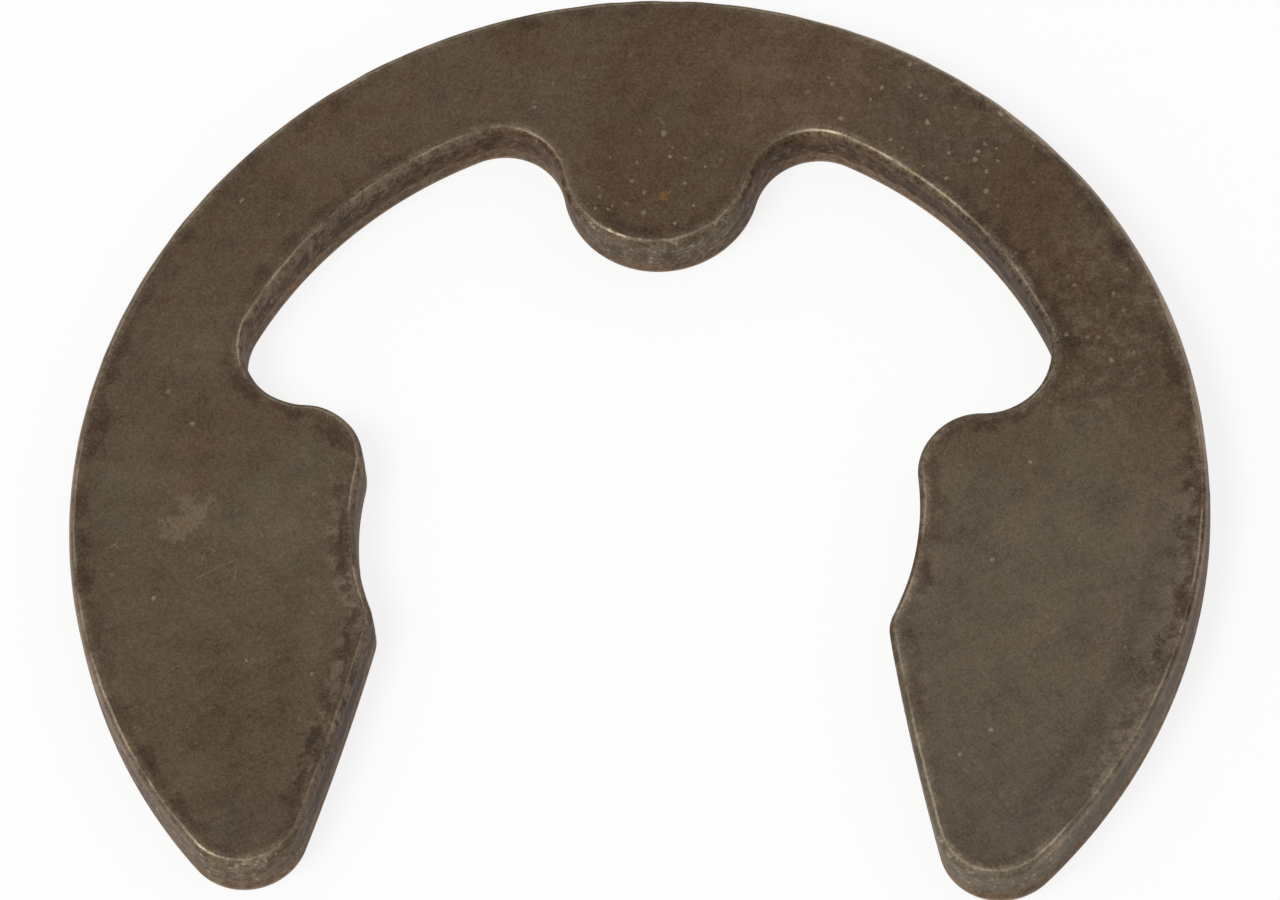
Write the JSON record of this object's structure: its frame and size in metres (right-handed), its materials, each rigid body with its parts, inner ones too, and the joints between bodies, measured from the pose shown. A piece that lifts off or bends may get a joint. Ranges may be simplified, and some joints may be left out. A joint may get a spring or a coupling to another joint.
{
  "type": "e-clip",
  "caption": "Flat open E-shaped retaining clip: a ring with two tapering prongs and a rounded inner lug that grip a shaft's groove from the side.",
  "frame": {"origin": "on the axis of the shaft that the clip grips, in the plane of the clip's lower face", "axes": "+Z along the shaft's axis, out of the upper face with the rounded edges; +Y from the mouth towards the crown; +X to the right"},
  "size_m": [0.0234, 0.0199, 0.0013],
  "materials": {
    "spring_steel": "dark brown-grey oiled, phosphated spring steel with a fine matt grain; thin bright rubbed lines along the rolled upper edges, darker brown mottling beside them"
  },
  "bodies": {
    "root": {"e_clip": "spring_steel"}
  },
  "joints": []
}
